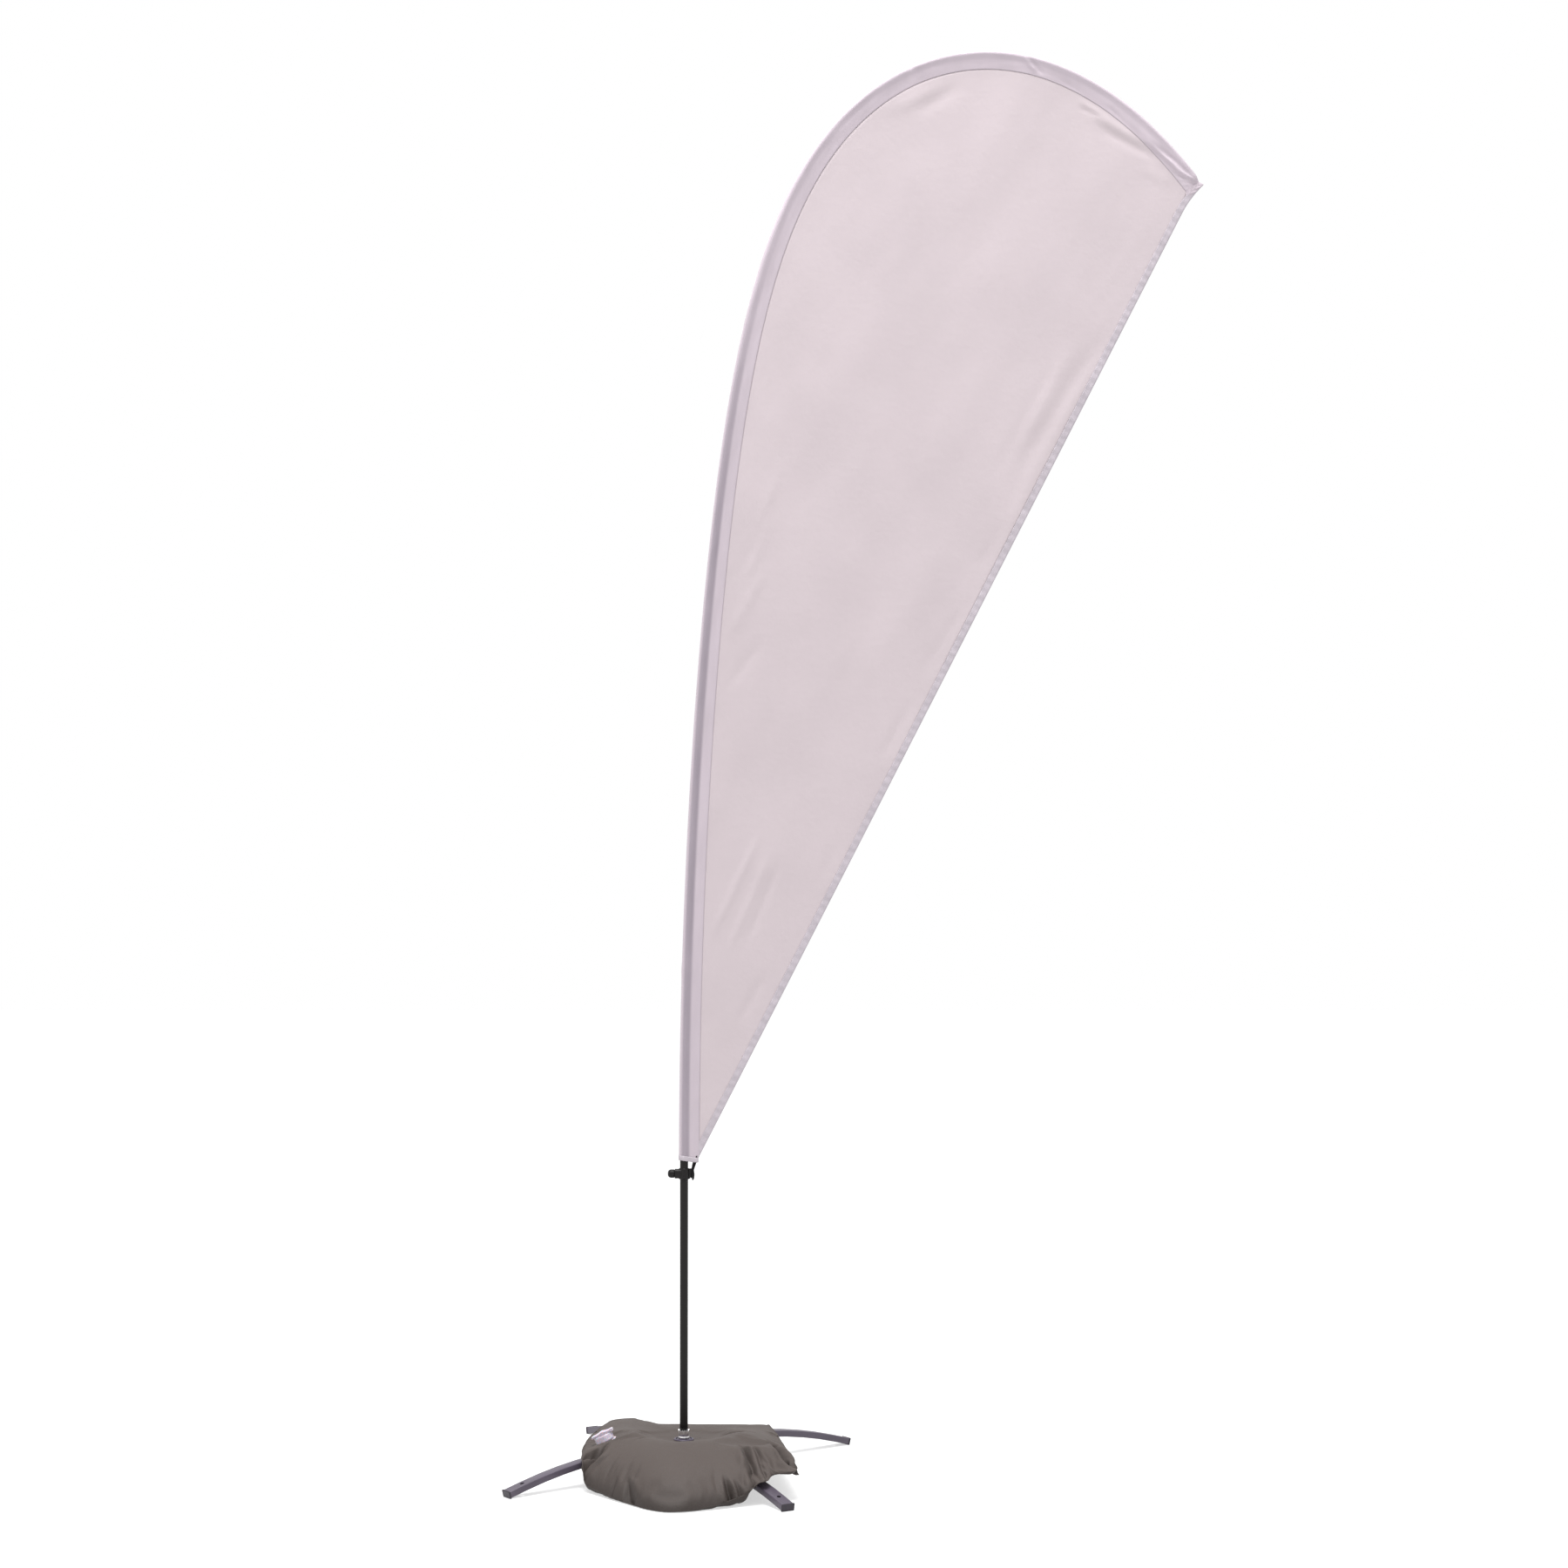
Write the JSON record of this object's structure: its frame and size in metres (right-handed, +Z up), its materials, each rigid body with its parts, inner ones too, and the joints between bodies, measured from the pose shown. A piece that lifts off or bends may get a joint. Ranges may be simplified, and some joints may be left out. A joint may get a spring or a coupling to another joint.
{
  "type": "teardrop flag",
  "caption": "Teardrop flag: tall curved sectional pole in a cloth sail, turning on a bearing in a folding cross base weighted by a ring-shaped water bag with a screw cap.",
  "frame": {"origin": "centre of the box round the whole flag, on the ground under it; the spindle stands at x = -0.4165, y = 0", "axes": "+Z up; the sail lies in the XZ plane and the pole curves over towards +X; -Y is the front, where the filling cap shows"},
  "size_m": [1.6186, 0.8478, 3.3389],
  "materials": {
    "arm": "satin",
    "dark": "matte",
    "steel": "satin",
    "chrome": "polished",
    "pole": "satin",
    "brass": "satin",
    "nylon": "matte",
    "panel": "matte",
    "band": "matte",
    "strap": "matte",
    "bag": "matte",
    "ring": "satin",
    "cap": "satin"
  },
  "bodies": {
    "base": {"lower_arm": "arm", "lower_arm_front_plug": "dark", "lower_arm_back_plug": "dark", "lower_arm_bush": "steel", "arm_spacer": "nylon", "pivot_bolt": "steel", "pivot_washer": "steel", "lock_nut": "steel", "hub": "ring", "bearing_inner_ring": "steel"},
    "folding_arm": {"upper_arm": "arm", "upper_arm_front_plug": "dark", "upper_arm_back_plug": "dark", "upper_arm_bush": "steel"},
    "balls": {"bearing_ball_1": "steel", "bearing_ball_2": "steel", "bearing_ball_3": "steel", "bearing_ball_4": "steel", "bearing_ball_5": "steel", "bearing_ball_6": "steel", "bearing_ball_7": "steel"},
    "rotor": {"rotor_cup": "chrome", "bearing_outer_ring": "steel", "spindle_rod": "steel"},
    "mast": {"lower_pole": "pole", "lower_middle_pole": "pole", "upper_middle_pole": "pole", "tip_pole": "pole", "lower_joint_ring": "steel", "middle_joint_ring": "steel", "upper_joint_ring": "steel", "tip_cap": "dark", "pole_sleeve": "band", "sail_panel": "panel", "leech_hem": "band"},
    "clamp": {"clamp_collar": "dark", "clamp_insert": "brass", "tension_loop": "strap"},
    "screw_stud": {"thumbscrew_stud": "steel"},
    "screw_knob": {"thumbscrew_knob": "dark"},
    "bag": {"water_bag": "bag", "bag_grommet": "ring", "fill_flange": "cap"},
    "seal": {"cap_seal": "nylon"},
    "cap": {"fill_cap": "cap"}
  },
  "joints": [
    {"name": "base_fold", "type": "hinge", "parent": "base", "child": "folding_arm", "pos_m": [-0.4165, 0, 0.06], "axis": [0, 0, 1], "range_deg": [-80, 0]},
    {"name": "flag_spin", "type": "hinge", "parent": "base", "child": "rotor", "pos_m": [-0.4165, 0, 0.077], "axis": [0, 0, 1], "continuous": true},
    {"name": "ball_orbit", "type": "hinge", "parent": "base", "child": "balls", "pos_m": [-0.4165, 0, 0.077], "axis": [0, 0, 1], "continuous": true},
    {"name": "mast_lift", "type": "slide", "parent": "rotor", "child": "mast", "axis": [0, 0, 1], "range_m": [0, 0.18]},
    {"name": "clamp_slide", "type": "slide", "parent": "mast", "child": "clamp", "axis": [0, 0, 1], "range_m": [-0.04, 0.01], "deforming": ["tension_loop"]},
    {"name": "thumbscrew_advance", "type": "slide", "parent": "clamp", "child": "screw_stud", "axis": [-1, 0, 0], "range_m": [0, 0.002]},
    {"name": "thumbscrew_turn", "type": "hinge", "parent": "screw_stud", "child": "screw_knob", "pos_m": [-0.4165, 0, 0.6888], "axis": [-1, 0, 0], "range_deg": [0, 720]},
    {"name": "bag_lift", "type": "slide", "parent": "base", "child": "bag", "axis": [0, 0, 1], "range_m": [0, 0.3]},
    {"name": "cap_rise", "type": "slide", "parent": "bag", "child": "seal", "axis": [-0.4067, 0, 0.9135], "range_m": [0, 0.006]},
    {"name": "cap_unscrew", "type": "hinge", "parent": "seal", "child": "cap", "pos_m": [-0.594, -0.07, 0.079], "axis": [-0.4067, 0, 0.9135], "range_deg": [0, 720]}
  ],
  "couplings": [
    {"joint": "ball_orbit", "follows": "flag_spin", "ratio": 0.596},
    {"joint": "thumbscrew_advance", "follows": "thumbscrew_turn", "m_per_rad": 0.00015915},
    {"joint": "cap_rise", "follows": "cap_unscrew", "m_per_rad": 0.00047746}
  ]
}
